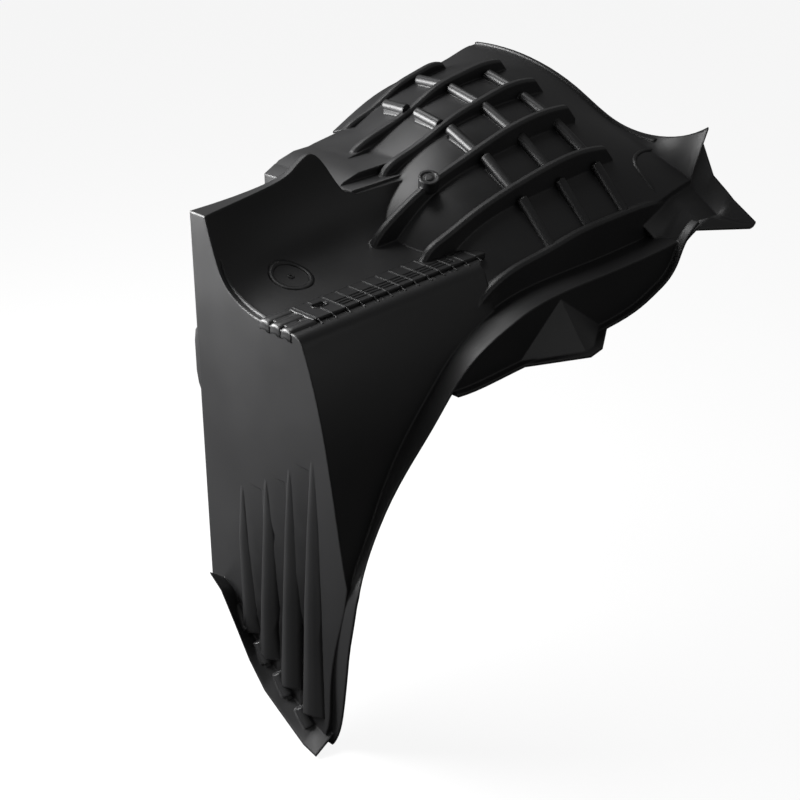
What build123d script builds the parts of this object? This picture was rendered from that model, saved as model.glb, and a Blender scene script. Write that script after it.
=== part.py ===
"""Wheel arch liner: one thin moulding, drawn from the leg's upper outboard corner and then set on its pad.

X runs along the arch from the leg to the tail, Y runs inboard, Z runs up. Millimetres.
The skin is a filled outer form less the same form drawn one wall thickness smaller.
"""
import os
from build123d import *

# wall, and how far the cutting forms reach past the part
wall = 2.5
far = 400.0
deep = -640.0
outside = 100.0
overlap = 1.0

# leg: rear face as seen from behind in (Y, Z), end of the shelf as seen from above in (X, Y)
leg_inboard = 168.0
shoulder = [(12, 0), (2, -3), (-4, -12)]
wall_line = [(-4, -12), (-27, -83), (-40, -147), (-53, -239), (-59, -276)]
foot_line = [(-59, -276), (-52, -310), (-40, -360), (-31, -425), (-25, -480), (-12, -504)]
foot_inboard = -358.0
shelf_end = [(272, -90), (272, 4), (330, 58), (330, 200)]
leg_rear = -10.0
leg_sides = (-90.0, 200.0)
open_below = -45.0
open_width = 60.0

# shelf and trough wall: place along X and the top curve in (Y, Z), the lip as seen from the side in (X, Z)
shelf = [
    (0, [(12, 0), (38, -1), (64, 0), (92, 7), (116, 23), (133, 57), (144, 93), (150, 130)]),
    (110, [(12, 0), (40, -1), (74, 1), (106, 8), (132, 20), (150, 50), (159, 93), (163, 130)]),
    (230, [(12, 0), (40, -1), (73, 1), (104, 9), (130, 25), (149, 53), (159, 93), (163, 130)]),
    (345, [(12, 0), (40, -1), (73, 1), (104, 9), (130, 25), (149, 53), (159, 93), (163, 130)]),
]
lip_line = [(-20, 91), (40, 91), (84, 93), (112, 96), (134, 102), (152, 112), (164, 115), (178, 106),
            (212, 62)]
lip_end = [(224, 57), (360, 57)]

# terraces between the trough and the dome: outboard edge and profile in (X, Z)
terrace_inboard = 290.0
terrace_rear = 205.0
terrace_foot = (14.0, 52.0)
terraces = [
    (156, [(terrace_rear, 52), (222, 60), (345, 60)]),
    (178, [(terrace_rear, 40), (213, 54), (228, 63), (252, 69), (345, 70)]),
    (222, [(terrace_rear, 32), (212, 46), (224, 55), (248, 64), (285, 71), (345, 79)]),
]

# dome: place along X, turn of the station and the lateral curve in (Y, Z)
dome_low = -130.0
past_dome, past_terrace = 39.0, 49.0
dome_inboard = 319.0
dome = [
    (190, 0.0, [(-14, -120), (50, -40), (110, -12), (170, 10), (230, 10), (290, -10), (318, -30)]),
    (300, 0.0, [(-14, -26), (50, 20), (110, 50), (170, 62), (230, 66), (290, 60), (318, 50)]),
    (382, 0.0, [(-14, -17), (50, 37), (110, 71), (170, 92), (230, 98), (290, 92), (318, 85)]),
    (451, 0.0, [(-14, -13), (50, 42), (110, 79), (170, 104), (230, 115), (290, 112), (318, 106)]),
    (517, 0.0, [(-14, -10), (50, 46), (110, 82), (170, 107), (230, 121), (290, 120), (318, 114)]),
    (595, 0.1, [(-14, 6), (50, 44), (110, 74), (170, 103), (230, 122), (290, 126), (318, 124)]),
    (637, 0.16, [(-14, 12), (50, 40), (110, 65), (170, 98), (230, 121), (290, 130), (318, 130)]),
]
nose = (664, 0.2, [(-14, 74), (50, 51), (110, 60), (170, 95), (230, 121), (290, 132), (318, 132)])

# bead on the front flange and boss on the fourth rib
bead_place = (0.5, 0.72)
bead_rise = 2.2
boss_at = (294, 106, 71)
boss_axis = (-0.25, -0.3, 0.92)
boss_radius = 12.0
boss_ring = (9.0, 5.0)
boss_height = 16.0

# arch: ledge curve round the wheel and lower edge of the skirt in (X, Z), rim from above and from behind
ledge_line = [(640, -30), (600, -36), (540, -40), (438, -41), (366, -40), (288, -46), (241, -59),
              (205, -72), (165, -97), (132, -122), (92, -158), (60, -198), (32, -239), (14, -264), (6, -285), (4, -310),
              (4, -350), (5, -403), (6, -440), (7, -500), (8, -560)]
skirt_line = [(150, -99), (176, -105), (240, -106), (290, -105), (425, -105), (455, -103), (490, -97),
              (517, -88), (542, -76), (558, -60), (567, -42), (580, -26)]
skirt_face = -53.0
skirt_back = -12.8
rim_plan = [(-20, -72), (14, -70), (32, -64), (90, -63), (132, -62), (165, -57), (205, -54.5), (240, -53)]
rim_rear = [(-72, 0), (-72, -275), (-68, -309), (-60, -350), (-52, -403), (-46, -440), (-38, -476),
            (-26, -502)]
gusset_foot = [(274, -53), (352, -90), (372, -86), (424, -53)]
gusset_top = (345, -52, -46)
gusset_low = -107.0
gusset_band = [(262, -53), (350, -97), (377, -92), (436, -53)]
flange_line = [(168, -104), (176, -105), (240, -106), (290, -105), (425, -105), (455, -103), (490, -97),
               (517, -88), (542, -76), (556, -61), (565, -44), (576, -31), (594, -20)]
flange_face = -62.0
flange_thick = 3.5

# tail: place along Y and the profile in (X, Z), from the ledge up to the front edge
tail = [
    (-8, [(540, -14), (600, 3), (637, 10), (664, 58)]),
    (-30, [(556, -43), (604, -10), (643, -10), (664, 16)]),
    (-53, [(574, -46), (608, -22), (643, -24), (664, 0)]),
    (-62, [(588, -26), (614, -18), (643, -24), (665, -8)]),
    (-92, [(660, -35), (664, -35), (668, -34), (672, -31)]),
]

# pad on the shelf, its plan in (X, Y), and its two slotted fixing holes
pad_plan = [(6, 22), (6, 49), (300, 57), (322, 50), (277, 22)]
pad_top = 2.0
slot_x = (64.0, 266.0)
slot_y = 41.0
slot_length = 13.0
slot_width = 6.0
pad_rib = 2.4
pad_rib_rise = 1.2
pad_rib_pitch = 26.0
pad_ribs = 10
pad_overhang = 12.0
pad_groove = 2.0
pad_grooves = 4
pad_groove_pitch = 7.0

# long ribs: lateral place and crest in (X, Z)
rib_width = 11.0
rib_edge = 2.8
rib_foot = -60.0
rib_nose = (14.0, 16.0)
ribs = [
    (290, [(328, 62), (335, 79), (344, 84), (373, 93), (401, 105), (431, 118), (461, 125), (490, 130),
           (505, 128)]),
    (230, [(286, 58), (293, 76), (303, 81), (360, 97), (397, 110), (434, 125), (472, 132), (511, 137),
           (548, 135)]),
    (170, [(276, 55), (288, 70), (318, 80), (354, 91), (390, 104), (446, 117), (484, 124), (546, 123)]),
    (110, [(200, 2), (207, 14), (243, 40), (301, 65), (345, 77), (418, 96), (473, 104), (538, 103)]),
    (50, [(222, 2), (235, 16), (259, 25), (306, 40), (355, 52), (406, 61), (459, 68), (540, 64)]),
    (-9, [(244, -41), (286, -17), (316, -10), (366, -5), (418, 2), (472, 4), (528, 4), (581, 1)]),
]

# cross bars between the ribs: place along X and each bar's crest as (Y, Z) from and to
bar_width = 12.0
bar_rise = 2.0
bar_round = 4.5
bar_depth = 22.0
bars = [
    (382, [((264, 103), (230, 104)), ((210, 104), (170, 97)), ((153, 95), (110, 76)), ((97, 73), (50, 42)),
           ((38, 35), (-9, -13))]),
    (451, [((274, 118), (230, 120)), ((219, 118), (170, 108)), ((162, 106), (110, 84)),
           ((103, 80), (50, 46)), ((39, 40), (-9, -9))]),
    (517, [((223, 124), (170, 112)), ((169, 110), (110, 88)), ((106, 85), (50, 52)), ((39, 44), (-9, -4))]),
]

# hollows between the flutes on the rear face: top level, flank and step in Y there and at the lowest level
flute_low = -540.0
flutes = [(-205, (103, 70), (79, 76)), (-180, (61, 30), (57, 43)), (-150, (21, -8), (18, 7)),
          (-138, (-16, -95), (-23, -95))]
flute_depth = (1.5, 19.0)
flute_clear = 0.5

# ledge along the leg's foot: place along Y, level at the rear face and at the outer edge; rolls in (Y, Z)
foot_inner, foot_outer = 10.0, -20.0
foot_ledge = [(-28, -489, -500), (-7, -481, -495), (33, -460, -470), (58, -439, -454), (83, -420, -424),
              (107, -401, -384), (128, -362, -350), (146, -352, -336)]
roll_x = -3.0
roll_radius = 8.0
roll_tip = (4.5, 5.0)
rolls = [((124, -381), (102, -401)), ((83, -408), (70, -431)), ((52, -437), (35, -459)),
         ((15, -465), (0, -484))]


def station(x, turn):
    """Upright plane across the liner at x, turned about the upright line through (x, 0)."""
    return Plane(origin=(x, 0, 0), x_dir=Vector(-turn, 1, 0), z_dir=Vector(1, turn, 0))


def sunk(line, depth):
    """The same curve one depth further in, each point moved square to the curve."""
    moved = []
    for i, (u, v) in enumerate(line):
        before = Vector(*line[max(i - 1, 0)])
        after = Vector(*line[min(i + 1, len(line) - 1)])
        along = (after - before).normalized()
        moved.append((u + along.Y * depth, v - along.X * depth))
    return moved


def flute_forms(inset):
    """Hollows between the flutes: each slopes in from a flank, deepens downwards and ends at a step."""
    made = []
    rear = inset - flute_clear
    for high, top, foot in flutes:
        with BuildPart() as form:
            for z, (flank, step), depth in zip((high, flute_low), (top, foot), flute_depth):
                with BuildSketch(Plane.XY.offset(z)):
                    with BuildLine():
                        Polyline((rear, flank + inset / 2), (inset + depth, step - inset + overlap),
                                 (rear, step - inset), close=True)
                    make_face()
            loft(ruled=True)
        made.append(form.part)
    return made


def foot_form():
    """Ledge below the flutes with a short roll beside each ridge's foot."""
    with BuildPart() as form:
        for y, level, edge in foot_ledge:
            rise = (level - edge) * foot_inner / -foot_outer
            line = [(foot_inner, level + rise), (foot_outer, edge)]
            with BuildSketch(Plane.XZ.offset(-y)):
                with BuildLine():
                    Polyline(*line, *[(x, z - wall) for x, z in reversed(line)], close=True)
                make_face()
        loft(ruled=True)
        for (y0, z0), (y1, z1) in rolls:
            along = Vector(0, y1 - y0, z1 - z0)
            with BuildSketch(Plane(origin=(roll_x, y0, z0), z_dir=along)):
                Circle(roll_radius)
            extrude(amount=along.length)
            with BuildSketch(Plane(origin=(roll_x, y1, z1), z_dir=along)):
                Circle(roll_tip[0])
            extrude(amount=roll_tip[1])
    return form.part


def leg_form(inset, hollows):
    """Column of the leg with the shelf and its concave inboard wall on top."""
    rear = inset or leg_rear
    with BuildPart() as form:
        for x, line in shelf:
            with BuildSketch(Plane.YZ.offset(x)):
                with BuildLine():
                    top = Spline(*sunk(line, inset))
                    turn = sunk(shoulder, -inset)
                    side = Spline(*sunk(wall_line, -inset))
                    ThreePointArc(top @ 0, turn[1], side @ 0)
                    foot = Spline(side @ 1, *sunk(foot_line, -inset)[1:])
                    back = leg_inboard - inset
                    low = [(back, deep), ((foot @ 1).X, deep)] if inset else [(back, foot_inboard)]
                    Polyline(top @ 1, (back, (top @ 1).Y), *low, foot @ 1)
                make_face()
        loft()
        with BuildSketch(Plane.XY.offset(deep)):
            with BuildLine():
                Polyline((rear, leg_sides[0]), *[(x - inset, y) for x, y in shelf_end],
                         (rear, leg_sides[1]), close=True)
            make_face()
        extrude(amount=-2 * deep, mode=Mode.INTERSECT)
        with BuildSketch(Plane.XZ):
            with BuildLine():
                lip = Spline(*sunk(lip_line, inset))
                Polyline(lip @ 1, *[(x, z - inset) for x, z in lip_end], (lip_end[-1][0], far),
                         ((lip @ 0).X, far), lip @ 0)
            make_face()
        extrude(amount=-far, mode=Mode.SUBTRACT)
        for hollow in hollows:
            add(hollow, mode=Mode.SUBTRACT)
    return form.part


def terrace_forms(inset, inboard):
    """Steps between the trough wall and the dome, each a block from its own edge inboard."""
    made = []
    for y, line in terraces:
        with BuildPart() as form:
            with BuildSketch(Plane.XZ.offset(-y - inset)):
                rear, front = (deep, deep) if inset else terrace_foot
                with BuildLine():
                    Polyline(*line, (line[-1][0], front), (line[0][0], rear), close=True)
                make_face()
                if inset:
                    offset(amount=-inset, kind=Kind.INTERSECTION)
            extrude(amount=y + inset - inboard)
        made.append(form.part)
    return made


def dome_form(inset, inboard):
    """Dome between the shelf and the front flange; the smaller one is open to the front."""
    with BuildPart() as form:
        for x, turn, line in dome:
            with BuildSketch(station(x, turn)):
                with BuildLine():
                    top = Spline(*sunk(line, inset))
                    side = line[0][0] + inset
                    low = dome_low - inset
                    Polyline(top @ 1, (inboard, (top @ 1).Y), (inboard, low), (side, low), top @ 0)
                make_face()
        loft()
        if inset:
            extrude(form.faces().sort_by(Axis.X)[-1], amount=2 * inset)
        rear = dome[0][0] + wall if inset else terrace_rear + wall
        split(bisect_by=Plane.YZ.offset(rear))
    return form.part


def nose_form():
    """Front flange, the dome's skin carried on to the front edge."""
    with BuildPart() as form:
        for x, turn, line in (dome[-1], nose):
            with BuildSketch(station(x, turn)):
                with BuildLine():
                    top = Spline(*line)
                    under = Spline(*sunk(line, wall))
                    Line(top @ 0, under @ 0)
                    Line(top @ 1, under @ 1)
                make_face()
        loft(ruled=True)
    return form.part


def bead_form():
    """Bead on the front flange, parallel to the front edge."""
    with BuildPart() as form:
        for share in bead_place:
            x, turn = (a + (b - a) * share for a, b in zip(dome[-1][:2], nose[:2]))
            line = [(y, za + (zb - za) * share) for (y, za), (_, zb) in zip(dome[-1][2], nose[2])][1:]
            with BuildSketch(station(x, turn)):
                with BuildLine():
                    top = Spline(*sunk(line, -bead_rise))
                    under = Spline(*sunk(line, wall / 2))
                    Line(top @ 0, under @ 0)
                    Line(top @ 1, under @ 1)
                make_face()
        loft(ruled=True)
    return form.part


def boss_form():
    """Round boss on the fourth rib with a ring sunk in its face."""
    with BuildPart() as form:
        with BuildSketch(Plane(origin=boss_at, z_dir=boss_axis)):
            Circle(boss_radius)
        extrude(amount=-boss_height)
        with BuildSketch(Plane(origin=boss_at, z_dir=boss_axis)):
            Circle(boss_ring[0])
            Circle(boss_ring[1], mode=Mode.SUBTRACT)
        extrude(amount=-wall / 2, mode=Mode.SUBTRACT)
    return form.part


def rib_forms():
    """The long ribs, standing in planes along the arch, with softened crests."""
    made = []
    for y, crest in ribs:
        half, flat = rib_width / 2, rib_width / 2 - rib_edge
        with BuildPart() as form:
            for side, drop in ((-half, rib_edge), (-flat, 0), (flat, 0), (half, rib_edge)):
                with BuildSketch(Plane.XZ.offset(-y - side)):
                    with BuildLine():
                        top = Spline(*sunk(crest, drop))
                        end = (top @ 1).X + rib_nose[0]
                        Polyline(top @ 1, (end, (top @ 1).Y - rib_nose[1]), (end, rib_foot),
                                 ((top @ 0).X, rib_foot), top @ 0)
                    make_face()
            loft(ruled=True)
        made.append(form.part)
    return made


def bar_forms():
    """Round-topped cross bars between the ribs."""
    made = []
    for x, row in bars:
        for (y0, z0), (y1, z1) in row:
            z0, z1 = z0 + bar_rise, z1 + bar_rise
            with BuildPart() as form:
                with BuildSketch(Plane.YZ.offset(x)):
                    with BuildLine():
                        Polyline((y0, z0), (y1, z1), (y1, z1 - bar_depth), (y0, z0 - bar_depth), close=True)
                    make_face()
                extrude(amount=bar_width / 2, both=True)
                fillet(form.faces().sort_by(Axis.Z)[-1].edges().filter_by(Axis.X, reverse=True), bar_round)
            made.append(form.part)
    return made


def arch_face(inset):
    """Everything under the ledge curve, seen from the side."""
    with BuildSketch(Plane.XZ) as face:
        with BuildLine():
            ledge = Spline(*sunk(ledge_line, -inset))
            Polyline(ledge @ 1, ((ledge @ 1).X, deep), (far * 2, deep), (far * 2, (ledge @ 0).Y), ledge @ 0)
        make_face()
    return face.sketch


def skirt_form(arch):
    """Ledge, skirt below it and the flange along its lower edge."""
    with BuildPart() as form:
        with BuildSketch(Plane.XZ.offset(-skirt_back)):
            add(arch_face(0))
            with BuildLine():
                low = Spline(*skirt_line)
                Polyline(low @ 1, ((low @ 1).X, outside), ((low @ 0).X, outside), low @ 0)
            make_face(mode=Mode.INTERSECT)
        extrude(amount=skirt_back - skirt_face)
        with BuildSketch(Plane.XZ.offset(-skirt_face - wall)):
            add(arch)
        extrude(amount=-far, mode=Mode.SUBTRACT)
    return form.part


def flange_form():
    """Lip along the skirt's lower edge, and the band round the buttress's foot."""
    with BuildPart() as form:
        with BuildSketch(Plane.XZ.offset(-skirt_face - wall)):
            with BuildLine():
                low = Spline(*sunk(flange_line, overlap))
                top = Spline(*sunk(flange_line, overlap - flange_thick))
                Line(low @ 0, top @ 0)
                Line(low @ 1, top @ 1)
            make_face()
        extrude(amount=skirt_face + wall - flange_face)
        with BuildSketch(Plane.XY.offset(gusset_low)):
            with BuildLine():
                Polyline((gusset_band[0][0], skirt_face + overlap), *gusset_band,
                         (gusset_band[-1][0], skirt_face + overlap), close=True)
            make_face()
        extrude(amount=flange_thick)
    return form.part


def rim_form(arch, leg_hollow):
    """Rim beside the leg, a strip from the leg's wall out to the wing's edge."""
    with BuildPart() as form:
        with BuildSketch(Plane.XZ):
            add(arch_face(0))
        extrude(amount=outside)
        with BuildSketch(Plane.XY.offset(deep)):
            with BuildLine():
                plan = Spline(*rim_plan)
                Polyline(plan @ 1, ((plan @ 1).X, 0), ((plan @ 0).X, 0), plan @ 0)
            make_face()
        extrude(amount=-deep, mode=Mode.INTERSECT)
        with BuildSketch(Plane.YZ):
            with BuildLine():
                rear = Spline(*rim_rear)
                Polyline(rear @ 1, (0, (rear @ 1).Y), (0, 0), rear @ 0)
            make_face()
        extrude(amount=far, mode=Mode.INTERSECT)
        with BuildSketch(Plane.XZ.offset(outside)):
            add(arch)
        extrude(amount=-far, mode=Mode.SUBTRACT)
        add(leg_hollow, mode=Mode.SUBTRACT)
    return form.part


def tail_form():
    """Thin flared tail beyond the ledge's front end."""
    with BuildPart() as form:
        for y, line in tail:
            with BuildSketch(Plane.XZ.offset(-y)):
                with BuildLine():
                    Polyline(*line, *[(x, z - wall) for x, z in reversed(line)], close=True)
                make_face()
        loft(ruled=True)
    return form.part


def pad_form():
    """Raised pad with long grooves and cross ribs that run down over the shoulder."""
    (x0, y0), (_, y1) = pad_plan[:2]
    x1 = pad_plan[-1][0]
    with BuildPart() as form:
        with BuildSketch(Plane.XY.offset(-wall / 2)):
            with BuildLine():
                Polyline(*pad_plan, close=True)
            make_face()
        extrude(amount=wall / 2 + pad_top)
        with BuildSketch(Plane.XY.offset(pad_top)):
            with Locations(((x0 + x1) / 2, (y0 + y1) / 2 - pad_groove_pitch / 2)):
                with GridLocations(0, pad_groove_pitch, 1, pad_grooves):
                    Rectangle(x1 - x0 - 2 * pad_rib_pitch, pad_groove)
        extrude(amount=-pad_rib_rise, mode=Mode.SUBTRACT)
        with BuildSketch(Plane.XY.offset(-wall / 2)):
            with Locations(((x0 + x1) / 2, (y0 + y1) / 2 - pad_overhang / 2)):
                with GridLocations(pad_rib_pitch, 0, pad_ribs, 1):
                    Rectangle(pad_rib, y1 - y0 + pad_overhang)
        extrude(amount=wall / 2 + pad_top + pad_rib_rise / 2)
    return form.part


def gusset_form(inset):
    """Buttress on the skirt, a pyramid standing on its foot."""
    with BuildPart() as form:
        with BuildSketch(Plane.XY.offset(gusset_low - inset)) as foot:
            with BuildLine():
                Polyline((gusset_foot[0][0], skirt_face + overlap), *gusset_foot,
                         (gusset_foot[-1][0], skirt_face + overlap), close=True)
            make_face()
            if inset:
                offset(amount=-inset, kind=Kind.INTERSECTION)
        x, y, z = gusset_top
        loft(sections=[foot.sketch.face(), Vertex(x, y + inset, z - 2 * inset)])
    return form.part


leg_hollow = leg_form(wall, flute_forms(wall))
outer = [leg_form(0, flute_forms(0)), dome_form(0, dome_inboard)] + terrace_forms(0, terrace_inboard)
outer += rib_forms() + bar_forms()
inner = [leg_hollow, dome_form(wall, dome_inboard + past_dome)]
inner += terrace_forms(wall, dome_inboard + past_terrace)
arch = arch_face(wall)
skirt = skirt_form(arch)
rim = rim_form(arch, leg_hollow)
front = nose_form()
flange = flange_form()
foot = foot_form()
bead = bead_form()
boss = boss_form()
tail_end = tail_form()
pad = pad_form()

with BuildPart() as hollow:
    for form in inner:
        add(form)

with BuildPart() as moulding:
    for form in outer:
        add(form)
    add(hollow.part, mode=Mode.SUBTRACT)
    with BuildSketch(Plane.YZ.offset(wall)):
        with Locations((leg_inboard, open_below)):
            Rectangle(open_width, -deep, align=(Align.CENTER, Align.MAX))
    extrude(amount=far, mode=Mode.SUBTRACT)
    with BuildSketch(Plane.XZ.offset(outside)):
        add(arch)
    extrude(amount=-2 * far, mode=Mode.SUBTRACT)
    add(boss)
    add(skirt)
    add(rim)
    add(flange)
    add(gusset_form(0))
    add(gusset_form(wall), mode=Mode.SUBTRACT)
    add(front)
    add(bead)
    add(foot)
    add(tail_end)
    add(pad)
    with BuildSketch(Plane.XY.offset(pad_top + wall)):
        with Locations(*[(x, slot_y) for x in slot_x]):
            SlotOverall(slot_length, slot_width)
    extrude(amount=-4 * wall, mode=Mode.SUBTRACT)

with BuildPart() as liner:
    with Locations((-(slot_x[0] + slot_x[1]) / 2, -slot_y, -pad_top)):
        add(moulding.part)

os.makedirs("parts", exist_ok=True)
liner.part.label = "liner"
export_step(liner.part, "parts/liner.step")
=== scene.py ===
# %% [markdown]
# A wheel arch liner is one thin moulding of black plastic that lines the space above a car's wheel.
# The CAD solid holds its folds, long ribs and holes, so Blender's work here is the surface: a satin, finely
# grained plastic, the smallest moulded lines, and a studio that shows dark shapes on a white ground.
# The frame is loaded first, and its box is kept.

# %% load the frame
import math

import bmesh
import bpy
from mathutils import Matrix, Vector
from mathutils.bvhtree import BVHTree


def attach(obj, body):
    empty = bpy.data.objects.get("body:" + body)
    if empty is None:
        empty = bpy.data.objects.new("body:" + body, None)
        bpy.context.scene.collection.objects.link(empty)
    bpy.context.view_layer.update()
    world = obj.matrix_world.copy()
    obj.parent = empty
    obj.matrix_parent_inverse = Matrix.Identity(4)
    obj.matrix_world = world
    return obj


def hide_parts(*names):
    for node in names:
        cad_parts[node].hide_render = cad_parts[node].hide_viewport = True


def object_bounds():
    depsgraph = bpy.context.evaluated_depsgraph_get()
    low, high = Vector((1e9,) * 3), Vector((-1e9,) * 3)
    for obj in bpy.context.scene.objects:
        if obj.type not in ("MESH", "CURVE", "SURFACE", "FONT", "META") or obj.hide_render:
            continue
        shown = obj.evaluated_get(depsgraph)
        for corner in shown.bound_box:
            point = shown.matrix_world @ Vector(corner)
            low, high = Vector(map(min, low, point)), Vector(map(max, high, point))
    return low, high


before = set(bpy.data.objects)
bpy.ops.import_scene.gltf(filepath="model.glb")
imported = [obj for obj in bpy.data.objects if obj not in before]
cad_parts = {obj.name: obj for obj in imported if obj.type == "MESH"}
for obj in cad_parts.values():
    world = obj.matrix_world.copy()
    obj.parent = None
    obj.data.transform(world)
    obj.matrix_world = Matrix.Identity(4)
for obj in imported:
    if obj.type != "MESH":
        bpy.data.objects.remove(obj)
cad_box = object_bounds()
low, high = (Vector(corner) for corner in cad_box)
centre = (low + high) / 2
scene = bpy.context.scene
print("liner box", [round(v, 3) for v in low], [round(v, 3) for v in high])

# %% [markdown]
# The CAD mesh comes as loose triangles with a flat look. A copy is merged into one skin, and then every
# edge whose two faces meet at a shallow angle is shaded smooth, while folds stay crisp.
# The pad's cross ribs are pressed flat in the copy, because finer ones are laid on it further down. Their
# places, like all that follow, are millimetres from the leg's upper outboard corner, as on the drawing.
# The copy stands for the CAD node, which goes on carrying the collision shape, hidden.

# %% one merged skin
mm = 0.001
leg_corner = Vector((-0.165, -0.041, -0.002))
fold_angle = math.radians(28)
merge_distance = 0.00002
pad_reach = ((4, 305), (6, 62))
pad_top, shoulder_top = 2.0, 0.05
shoulder_edge = 21.9
rib_foot, rib_head = pad_top + 0.05, pad_top + 1.5

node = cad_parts["liner"]
skin = bpy.data.objects.new("liner_skin", node.data.copy())
scene.collection.objects.link(skin)
bm = bmesh.new()
bm.from_mesh(skin.data)
bmesh.ops.remove_doubles(bm, verts=bm.verts, dist=merge_distance)
for vert in bm.verts:
    x, y, z = (vert.co - leg_corner) / mm
    over_pad = all(start < v < end for v, (start, end) in zip((x, y), pad_reach))
    if over_pad and rib_foot < z < rib_head:
        vert.co.z = leg_corner.z + (pad_top if y > shoulder_edge else shoulder_top) * mm
for face in bm.faces:
    face.smooth = True
for edge in bm.edges:
    edge.smooth = edge.is_manifold and edge.calc_face_angle(0.0) < fold_angle
bm.to_mesh(skin.data)
surface = BVHTree.FromBMesh(bm)
bm.free()
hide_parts("liner")
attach(skin, "root")
print("skin faces", len(skin.data.polygons))

# %% [markdown]
# Such liners are moulded in polypropylene, black through and through. Close up the skin has a fine spark
# grain; from a step away it is satin, a little cloudy where the tool was polished unevenly.
# One node group makes both from Object coordinates, so the pattern keeps its real size in metres.

# %% grain of the mould
grain_size = 0.0011
cloud_size = 0.16


def add_node(tree, kind, **sockets):
    """Adds a node and sets its unlinked sockets by name."""
    made = tree.nodes.new(kind)
    for name, value in sockets.items():
        made.inputs[name.replace("_", " ")].default_value = value
    return made


grain = bpy.data.node_groups.new("mould_grain", "ShaderNodeTree")
for output in ("Height", "Cloud"):
    grain.interface.new_socket(output, in_out="OUTPUT", socket_type="NodeSocketFloat")
leave = grain.nodes.new("NodeGroupOutput")
where = grain.nodes.new("ShaderNodeTexCoord")
spark = add_node(grain, "ShaderNodeTexNoise", Scale=1 / grain_size, Detail=2.0, Roughness=0.6)
cloud = add_node(grain, "ShaderNodeTexNoise", Scale=1 / cloud_size, Detail=4.0, Roughness=0.55)
for output, noise in (("Height", spark), ("Cloud", cloud)):
    grain.links.new(where.outputs["Object"], noise.inputs["Vector"])
    grain.links.new(noise.outputs[0], leave.inputs[output])
print("grain group nodes", len(grain.nodes))

# %% [markdown]
# The plastic itself is one Principled shader. The cloud moves its colour and gloss a little, and the
# grain and a small Bevel shader feed the normal: the bevel gives each fold the soft bright line that a
# moulded edge has, without changing the shape.

# %% black satin plastic
plastic_ior, plastic_specular = 1.49, 0.5
plastic_dark = (0.0105, 0.0105, 0.011, 1.0)
plastic_light = (0.0145, 0.0145, 0.015, 1.0)
cloud_low, cloud_high = 0.3, 0.7
roughness_low, roughness_high = 0.36, 0.46
edge_radius, edge_samples = 0.0032, 6
grain_height, grain_strength = 0.00006, 0.35

plastic = bpy.data.materials.new("black_satin_plastic")
plastic.use_nodes = True
tree = plastic.node_tree
shader = tree.nodes["Principled BSDF"]
shader.inputs["IOR"].default_value = plastic_ior
shader.inputs["Specular IOR Level"].default_value = plastic_specular
pattern = tree.nodes.new("ShaderNodeGroup")
pattern.node_tree = grain

tint = tree.nodes.new("ShaderNodeMix")
tint.data_type = "RGBA"
tint.inputs["A"].default_value = plastic_dark
tint.inputs["B"].default_value = plastic_light
tree.links.new(pattern.outputs["Cloud"], tint.inputs["Factor"])
tree.links.new(tint.outputs["Result"], shader.inputs["Base Color"])

gloss = add_node(tree, "ShaderNodeMapRange", From_Min=cloud_low, From_Max=cloud_high,
                 To_Min=roughness_low, To_Max=roughness_high)
tree.links.new(pattern.outputs["Cloud"], gloss.inputs["Value"])
tree.links.new(gloss.outputs["Result"], shader.inputs["Roughness"])

soft_edge = add_node(tree, "ShaderNodeBevel", Radius=edge_radius)
soft_edge.samples = edge_samples
bump = add_node(tree, "ShaderNodeBump", Strength=grain_strength, Distance=grain_height)
tree.links.new(pattern.outputs["Height"], bump.inputs["Height"])
tree.links.new(soft_edge.outputs["Normal"], bump.inputs["Normal"])
tree.links.new(bump.outputs["Normal"], shader.inputs["Normal"])

skin.data.materials.clear()
skin.data.materials.append(plastic)
print("plastic nodes", len(tree.nodes))

# %% [markdown]
# The smallest moulded lines are made here: each is a thin closed shape that sits on the skin.
# A ray dropped on the skin finds the surface, and rings of points joined by faces make each shape but the
# pad's tread, which is a grid.

# %% places on the skin
down = Vector((0, 0, -1))
upwards = Vector((0, 0, 1))
inwards = Vector((1, 0, 0))
above_all = 250


def at(x, y, z):
    """A place in millimetres from the leg's upper outboard corner."""
    return leg_corner + Vector((x, y, z)) * mm


def dropped(x, y, rise=0.0):
    """The place on the skin under (x, y), moved out along its normal by rise, and that normal."""
    spot, normal, _, _ = surface.ray_cast(at(x, y, above_all), down)
    return spot + normal * rise * mm, normal


def turns(count):
    """Angles that share a full turn into equal steps."""
    return [math.tau * k / count for k in range(count)]


print("origin of the drawing", [round(v, 3) for v in at(0, 0, 0)])

# %% [markdown]
# Every shape ends as an object in the liner's plastic that rides on the one body. The two ends of an open
# row of rings are closed by caps, whose edges stay sharp so that they don't tint the shading beside them.

# %% shapes from rings
thin_share = 0.3


def finish_piece(name, bm):
    """Turns a filled bmesh into an object in the liner's plastic, with its faces outwards."""
    bmesh.ops.recalc_face_normals(bm, faces=bm.faces)
    mesh = bpy.data.meshes.new(name)
    bm.to_mesh(mesh)
    bm.free()
    made = bpy.data.objects.new(name, mesh)
    scene.collection.objects.link(made)
    mesh.materials.append(plastic)
    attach(made, "root")


def piece(name, rings, closed=False):
    """Joins rings of points into one closed shape."""
    bm = bmesh.new()
    loops = [[bm.verts.new(p) for p in ring] for ring in rings]
    count = len(loops[0])
    follow = loops[1:] + loops[:1] if closed else loops[1:]
    for one, two in zip(loops, follow):
        for i in range(count):
            bm.faces.new((one[i], one[(i + 1) % count], two[(i + 1) % count], two[i]))
    for face in bm.faces:
        face.smooth = True
    for cap in [] if closed else (loops[0], loops[-1]):
        for edge in bm.faces.new(cap).edges:
            edge.smooth = False
    finish_piece(name, bm)


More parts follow.
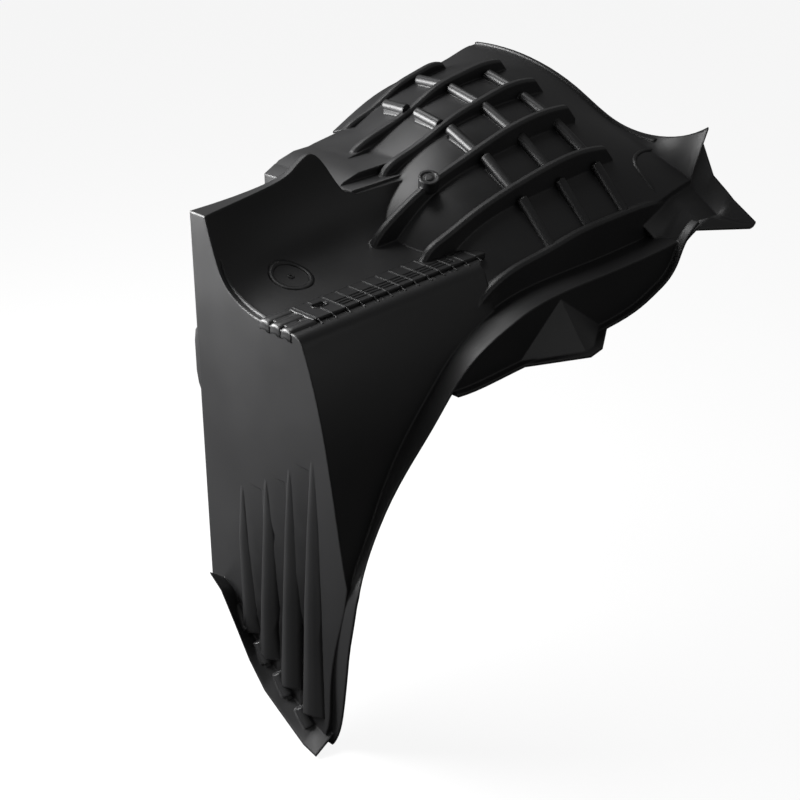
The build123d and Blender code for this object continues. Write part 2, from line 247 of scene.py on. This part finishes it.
def round_line(name, line, radius, closed=False, sides=10, thin_ends=False):
    """A round bead along a line of places and their normals; its ends can run out thin."""
    rings = []
    last = len(line) - 1
    for i, (spot, normal) in enumerate(line):
        before = line[i - 1][0] if closed or i else spot
        after = line[(i + 1) % len(line)][0] if closed or i < last else spot
        along = (after - before).normalized()
        side = along.cross(normal).normalized()
        up = side.cross(along)
        reach = radius * (thin_share if thin_ends and i in (0, last) else 1.0) * mm
        rings.append([spot + (side * math.cos(t) + up * math.sin(t)) * reach for t in turns(sides)])
    piece(name, rings, closed)


def slab_section(faces, left, right, z):
    """A level ring round a slab whose two faces stand at the given depths."""
    near, far = faces
    return [at(near, left, z), at(near, right, z), at(far, right, z), at(far, left, z)]


print("shape helpers ready")

# %% [markdown]
# Four ridges stiffen the lower leg. On the real part each is a rounded crest with a step on one side and a
# flank that falls into the next hollow, growing from nothing at its top. The solid has the hollows; the
# crests are laid over them so that their light faces and dark flanks read as they do in the photograph.
# Each crest is given at four levels, as the height, the place of its step and its width.

# %% crests of the flutes
crests = [
    [(-200, 106, 3), (-279, 110, 10), (-371, 106, 15), (-402, 104, 16)],
    [(-176, 65, 3), (-255, 68, 11), (-350, 73, 16), (-424, 75, 17)],
    [(-146, 25, 3), (-238, 31, 11), (-332, 35, 16), (-445, 40, 20)],
    [(-120, -12, 3), (-222, -5, 13), (-316, -1, 18), (-464, 5, 25)],
]
crest_rise = (-0.8, 4.0, 8.0, 10.0)
crest_fall = (5.0, 9.0, 11.0, 11.0)
outer_fall = 7.0
crest_shape = [(0.0, 0.85), (0.1, 1.0), (0.4, 0.85), (0.75, 0.5), (1.0, 0.1)]
step_run, foot_sink = 1.5, 1.2
floor_faces = (4.8, 6.6)
behind_all = -80


def behind(y, z):
    """How far the skin stands in at (y, z), seen from behind; the floor's depth where it is open."""
    spot, _, _, _ = surface.ray_cast(at(behind_all, y, z), inwards)
    return (spot - leg_corner).x / mm if spot else floor_faces[0]


def crest_foot(y, z):
    """A point just under the skin, where a crest's side ends."""
    return at(behind(y, z) + foot_sink, y, z)


for number, crest in enumerate(crests, 1):
    outermost = number in (1, len(crests))
    rings = []
    for (z, step, width), rise, fall in zip(crest, crest_rise, crest_fall):
        flank = min(fall, outer_fall) if outermost else fall
        ring = [crest_foot(step + step_run, z)]
        ring += [at(-share * rise, step - part * width, z) for part, share in crest_shape]
        ring.append(crest_foot(step - width - flank, z))
        rings.append(ring)
    piece("flute_crest_%d" % number, rings)
print("crests", len(crests))

# %% [markdown]
# Beside each step the solid's hollow breaks through to the wheel's side, so a flat floor closes it there.
# A floor is given at three levels, as the height and its two sides.

# %% floors of the hollows
hollow_floors = [
    [(-285, 84, 70), (-340, 86, 71), (-416, 86, 72)],
    [(-262, 46, 31), (-340, 51, 33), (-448, 52, 37)],
    [(-240, 8, -6), (-340, 12, -2), (-480, 13, 3)],
]

for number, levels in enumerate(hollow_floors, 1):
    sections = [slab_section(floor_faces, left, right, z) for z, left, right in levels]
    piece("flute_floor_%d" % number, sections)
print("floors", len(hollow_floors))

# %% [markdown]
# On the trough's floor a round recess marks a screw place. Its rim is raised with a long outer slope and a
# steep inner wall, which the eye reads as a step down, and a small dimple stands in the middle.
# Each rim is a profile of radius and rise, turned about the recess.

# %% recess on the trough floor
recess_centre = (85, 109)
recess_rim = [(29, -0.8), (23, 0.7), (20.5, 1.2), (19.4, 0.8), (18.8, -0.8)]
dimple_rim = [(4.2, -0.8), (3.6, 1.0), (2.2, 1.2), (1.6, -0.8)]
rim_steps = 48
ray_height = 0.03

middle, upright = dropped(*recess_centre)
across = upright.cross(inwards).normalized()
along = across.cross(upright)
for name, rim in (("recess_rim", recess_rim), ("recess_dimple", dimple_rim)):
    rings = []
    for turn in turns(rim_steps):
        outward = along * math.cos(turn) + across * math.sin(turn)
        ring = []
        for radius, rise in rim:
            start = middle + outward * radius * mm + upright * ray_height
            foot, _, _, _ = surface.ray_cast(start, -upright)
            ring.append(foot + upright * rise * mm)
        rings.append(ring)
    piece(name, rings, closed=True)
print("recess at", [round(v, 3) for v in middle])

# %% [markdown]
# Beads are moulded wherever a free edge would be weak: along the trough's open end, and round a raised
# panel beside the tail. The slots in the pad have thin rims that seat the fixings' heads.

# %% beads and rims
trough_end = [(8, y) for y in (131, 127, 122, 116, 109, 101, 92, 82, 72, 62, 54)]
trough_radius = 2.6
panel_edge = [(578, -8), (579, 4), (580, 18), (582, 30), (589, 38),
              (598, 43), (610, 46), (623, 47), (634, 44)]
panel_radius, panel_sink = 3.2, -1.2
slot_places = ((64, 41), (266, 41))
slot_half, slot_turn = 4.6, 5.2
slot_rim_radius, slot_rim_height, slot_rim_steps = 0.9, 3.7, 24

round_line("trough_bead", [dropped(x, y) for x, y in trough_end], trough_radius, thin_ends=True)
panel_line = [dropped(x, y, panel_sink) for x, y in panel_edge]
round_line("panel_bead", panel_line, panel_radius, thin_ends=True)
for number, (x, y) in enumerate(slot_places, 1):
    rim = []
    for turn in turns(slot_rim_steps):
        shift = slot_half if math.cos(turn) > 0 else -slot_half
        rim_x = x + shift + slot_turn * math.cos(turn)
        rim_y = y + slot_turn * math.sin(turn)
        rim.append((at(rim_x, rim_y, slot_rim_height), upwards))
    round_line("slot_rim_%d" % number, rim, slot_rim_radius, closed=True, sides=6)
print("trough and panel beads, slot rims", len(slot_places))

# %% [markdown]
# The pad's tread is a plate of rows and ribs that grips what lies on it: three grooves run along it between
# the slots, and thin ribs cross it and drip over the shoulder. It is a grid, and each corner of the grid
# gets its height from the groove or rib it lies in.

# %% heights of the pad's tread
tread_front, tread_ends = 17.5, (34.0, 294.0)
tread_low, tread_top, groove_floor, rib_top = -2.5, 3.6, 2.1, 4.2
rib_start, rib_pitch, rib_count = 40.0, 20.0, 13
rib_places = [rib_start + rib_pitch * k for k in range(rib_count)]
groove_places, groove_ends = (25.5, 31.0, 36.5), (79.0, 251.0)
line_half = 0.9
far_start, far_gain, far_run = 55.5, 2.5, 220.0


def tread_far(x):
    """The inboard edge of the tread, which runs a little wider towards the tail."""
    return far_start + far_gain * (x - rib_start) / far_run


def tread_height(x, y):
    """Height of the tread at a corner of the grid."""
    if any(abs(x - rib) < line_half for rib in rib_places):
        return rib_top
    in_groove = any(abs(y - row) < line_half for row in groove_places)
    return groove_floor if in_groove and groove_ends[0] < x < groove_ends[1] else tread_top


print("tread ribs", len(rib_places), "grooves", len(groove_places))

# %% [markdown]
# The grid has lines at the head and foot of every rib and groove. Its last line follows the slanting inboard
# edge, so it has no place of its own. Cells over the slots are left open, and wherever a cell has no
# neighbour a side wall closes the plate.

# %% tread of the pad
line_sides = (-1.2, -0.8, 0.8, 1.2)
groove_end_sides = (-0.4, 0.4)
front_slope = 0.8
slot_room = (7.5, 4.5)
nudge = 0.01

xs = set(tread_ends)
xs |= {end + d for end in groove_ends for d in groove_end_sides}
xs |= {rib + d for rib in rib_places for d in line_sides}
xs |= {x + d for x, _ in slot_places for d in (-slot_room[0], slot_room[0])}
ys = {tread_front, tread_front + front_slope}
ys |= {row + d for row in groove_places for d in line_sides}
ys |= {y + d for _, y in slot_places for d in (-slot_room[1], slot_room[1])}
xs, ys = sorted(xs), sorted(ys) + [None]


def open_cell(i, j):
    """Whether a cell is outside the tread or over a slot."""
    if not (0 <= i < len(xs) - 1 and 0 <= j < len(ys) - 1):
        return True
    x, y = xs[i] + nudge, ys[j] + nudge
    return any(abs(x - sx) < slot_room[0] and abs(y - sy) < slot_room[1] for sx, sy in slot_places)


bm = bmesh.new()
grid = {}
for i, x in enumerate(xs):
    for j, y in enumerate(ys):
        y = tread_far(x) if y is None else y
        top = tread_height(x, y)
        grid[i, j] = bm.verts.new(at(x, y, top)), bm.verts.new(at(x, y, tread_low))
for i in range(len(xs) - 1):
    for j in range(len(ys) - 1):
        if open_cell(i, j):
            continue
        around = [(i, j), (i + 1, j), (i + 1, j + 1), (i, j + 1)]
        bm.faces.new([grid[c][0] for c in around])
        bm.faces.new([grid[c][1] for c in reversed(around)])
        beyond = [(i, j - 1), (i + 1, j), (i, j + 1), (i - 1, j)]
        for k, neighbour in enumerate(beyond):
            if open_cell(*neighbour):
                one, two = grid[around[k]], grid[around[(k + 1) % len(around)]]
                bm.faces.new((one[1], two[1], two[0], one[0]))
bmesh.ops.delete(bm, geom=[v for v in bm.verts if not v.link_faces], context="VERTS")
finish_piece("pad_tread", bm)
print("tread grid", len(xs), "by", len(ys))

# %% [markdown]
# Each rib of the tread runs on over the pad's outboard shoulder as a thin bead.

# %% drips of the tread
drip_line = [(18.6, 3.4), (17.0, 3.0), (15.4, 1.4), (12.5, 0.5), (9.5, 0.0)]
drip_normal = Vector((0, -0.6, 0.8))
drip_radius = 0.9

for number, x in enumerate(rib_places, 1):
    over = [(at(x, y, z), drip_normal) for y, z in drip_line]
    round_line("tread_drip_%d" % number, over, drip_radius, sides=8)
print("drips", len(rib_places))

# %% [markdown]
# Between the long ribs the dome is crossed by short round bars. The solid has them as low blocks; a round
# cap on each gives the bright line that a half-round bar shows. A row gives its place along the arch and
# where each of its bars starts and ends across it.

# %% caps of the cross bars
bar_rows = [
    (382, [(262, 232), (208, 176), (152, 116), (95, 56), (36, -3)]),
    (451, [(272, 236), (216, 176), (160, 116), (101, 56), (37, -3)]),
    (517, [(214, 176), (156, 116), (104, 56), (37, -3)]),
]
bar_radius, bar_sink, bar_steps = 7.0, -1.8, 6
start_reach, end_reach = 0.7, 0.5


def longer(end, inner, share):
    """The end of a line, moved outwards by a share of the line's last step."""
    return end[0] + (end[0] - inner[0]) * share, end[1]


for x, row in bar_rows:
    for start, end in row:
        stations = [start + (end - start) * k / bar_steps for k in range(bar_steps + 1)]
        line = [dropped(x, y, bar_sink) for y in stations]
        line[0] = longer(line[0], line[1], start_reach)
        line[-1] = longer(line[-1], line[-2], end_reach)
        round_line("bar_cap_%d_%d" % (x, start), line, bar_radius, sides=14)
print("bar caps", sum(len(row) for _, row in bar_rows))

# %% [markdown]
# At its rear end the pad breaks into three rolls that turn down over the edge of the leg. A roll is a half
# round that follows a line of places and tops, and its flat underside stays inside the moulding.

# %% rolls at the pad's rear end
roll_places = (54.0, 37.5, 21.0)
roll_half, roll_height, roll_steps = 7.6, 3.2, 8
roll_line = [(-0.6, -7.0), (-0.55, -0.8), (-0.5, 0.8), (0.4, 2.3),
             (2.2, 3.0), (5.0, 3.3), (22.0, 3.4), (35.5, 3.5)]
under_start, under_top = 1.0, -2.0

for number, y in enumerate(roll_places, 1):
    rings = []
    for x, top in roll_line:
        foot = top - roll_height
        ring = []
        for k in range(roll_steps + 1):
            turn = math.pi * k / roll_steps
            ring.append(at(x, y + roll_half * math.cos(turn), foot + roll_height * math.sin(turn)))
        for side in (-roll_half, roll_half):
            ring.append(at(max(x, under_start), y + side, min(foot, under_top)))
        rings.append(ring)
    piece("pad_roll_%d" % number, rings)
print("pad rolls", len(roll_places))

# %% [markdown]
# A low clip housing stands off the leg's inboard edge; only its outline shows from behind.
# Each section gives a height and how far inboard the housing reaches there.

# %% clip housing
clip_sections = [(-40, 167.5), (-46, 172), (-60, 174.5), (-96, 174.5), (-110, 172), (-120, 167.5)]
clip_faces = (0.8, 14.0)
clip_root = 160

piece("clip_housing", [slab_section(clip_faces, clip_root, y, z) for z, y in clip_sections])
print("clip housing", len(clip_sections), "sections")

# %% [markdown]
# The floor is a pale sheet just below the foot. The photograph's ground is pure white, so to the camera
# most of the floor's light is its own, and the rest is the lit sheet, which keeps a soft shadow. To the
# plastic the floor is dark, so that it doesn't light the liner from below.

# %% floor
floor_reach, floor_gap = 6.0, 0.001
floor_own_light = 0.9
floor_roughness = 0.9
floor_pale = (0.86, 0.86, 0.86, 1.0)
floor_bounce = (0.03, 0.03, 0.03, 1.0)

bm = bmesh.new()
bmesh.ops.create_grid(bm, x_segments=1, y_segments=1, size=floor_reach)
bmesh.ops.translate(bm, verts=bm.verts, vec=(centre.x, centre.y, low.z - floor_gap))
sheet = bpy.data.meshes.new("floor_sheet")
bm.to_mesh(sheet)
bm.free()
floor = bpy.data.objects.new("floor", sheet)
scene.collection.objects.link(floor)

pale = bpy.data.materials.new("pale_floor")
pale.use_nodes = True
tree = pale.node_tree
lit = tree.nodes["Principled BSDF"]
lit.inputs["Roughness"].default_value = floor_roughness
own = add_node(tree, "ShaderNodeEmission", Strength=1.0)
path = tree.nodes.new("ShaderNodeLightPath")
seen = tree.nodes.new("ShaderNodeMath")
seen.operation = "MULTIPLY"
seen.inputs[1].default_value = floor_own_light
blend = tree.nodes.new("ShaderNodeMixShader")
shade = tree.nodes.new("ShaderNodeMix")
shade.data_type = "RGBA"
shade.inputs["A"].default_value = floor_bounce
shade.inputs["B"].default_value = floor_pale
tree.links.new(path.outputs["Is Camera Ray"], shade.inputs["Factor"])
tree.links.new(shade.outputs["Result"], lit.inputs["Base Color"])
tree.links.new(path.outputs["Is Camera Ray"], seen.inputs[0])
tree.links.new(seen.outputs[0], blend.inputs[0])
tree.links.new(lit.outputs[0], blend.inputs[1])
tree.links.new(own.outputs[0], blend.inputs[2])
tree.links.new(blend.outputs[0], tree.nodes["Material Output"].inputs["Surface"])
sheet.materials.append(pale)
print("floor at", round(low.z - floor_gap, 4))

# %% [markdown]
# In the photograph the faces turned back and up are grey and those turned outboard are nearly black.
# So the strongest light stands close behind the leg on its inboard side and rakes over the flutes, a second
# hangs above the dome, and two weak ones, far behind and outboard, only lift the darkest faces.
# The world is white to the camera and dim to the plastic.

# %% light
softboxes = [
    ("near_softbox", (-0.62, 0.70, 0.25), 0.60, 42.0),
    ("rear_softbox", (-2.2, 0.3, 0.7), 1.0, 8.0),
    ("upper_softbox", (0.2, 0.8, 1.5), 0.7, 13.0),
    ("side_softbox", (0.5, -1.5, 0.4), 1.0, 1.6),
]
world_to_plastic, world_to_camera = 0.13, 1.0
white = (1.0, 1.0, 1.0, 1.0)

for name, stand, size, watts in softboxes:
    light = bpy.data.lights.new(name, "AREA")
    light.size = size
    light.energy = watts
    softbox = bpy.data.objects.new(name, light)
    softbox.location = stand
    softbox.rotation_euler = (centre - Vector(stand)).to_track_quat("-Z", "Y").to_euler()
    scene.collection.objects.link(softbox)

world = bpy.data.worlds.new("studio")
scene.world = world
world.use_nodes = True
tree = world.node_tree
ground = tree.nodes["Background"]
ground.inputs["Color"].default_value = white
path = tree.nodes.new("ShaderNodeLightPath")
level = add_node(tree, "ShaderNodeMapRange", To_Min=world_to_plastic, To_Max=world_to_camera)
tree.links.new(path.outputs["Is Camera Ray"], level.inputs["Value"])
tree.links.new(level.outputs["Result"], ground.inputs["Strength"])

# %% [markdown]
# The camera stands where the photograph's did: 45 degrees round from the rear, 27 degrees up, with a
# 72 mm lens. Its place was found by fitting the arch's edge as a circle.

# %% camera
camera_at = Vector((-1.1223, -1.1397, 0.6691))
azimuth, elevation = math.radians(45), math.radians(27)
lens_length, sensor_width = 72.0, 36.0
looking = Vector((math.sin(azimuth) * math.cos(elevation), math.cos(azimuth) * math.cos(elevation),
                  -math.sin(elevation)))

camera = bpy.data.objects.new("camera", bpy.data.cameras.new("camera"))
camera.data.lens = lens_length
camera.data.sensor_width = sensor_width
camera.location = camera_at
camera.rotation_euler = looking.to_track_quat("-Z", "Y").to_euler()
scene.collection.objects.link(camera)
scene.camera = camera
scene.view_settings.view_transform = "Standard"
print("camera at", [round(v, 3) for v in camera_at])

# %% [markdown]
# Last, the script says that it has finished.

# %% finish
print("scene finished")
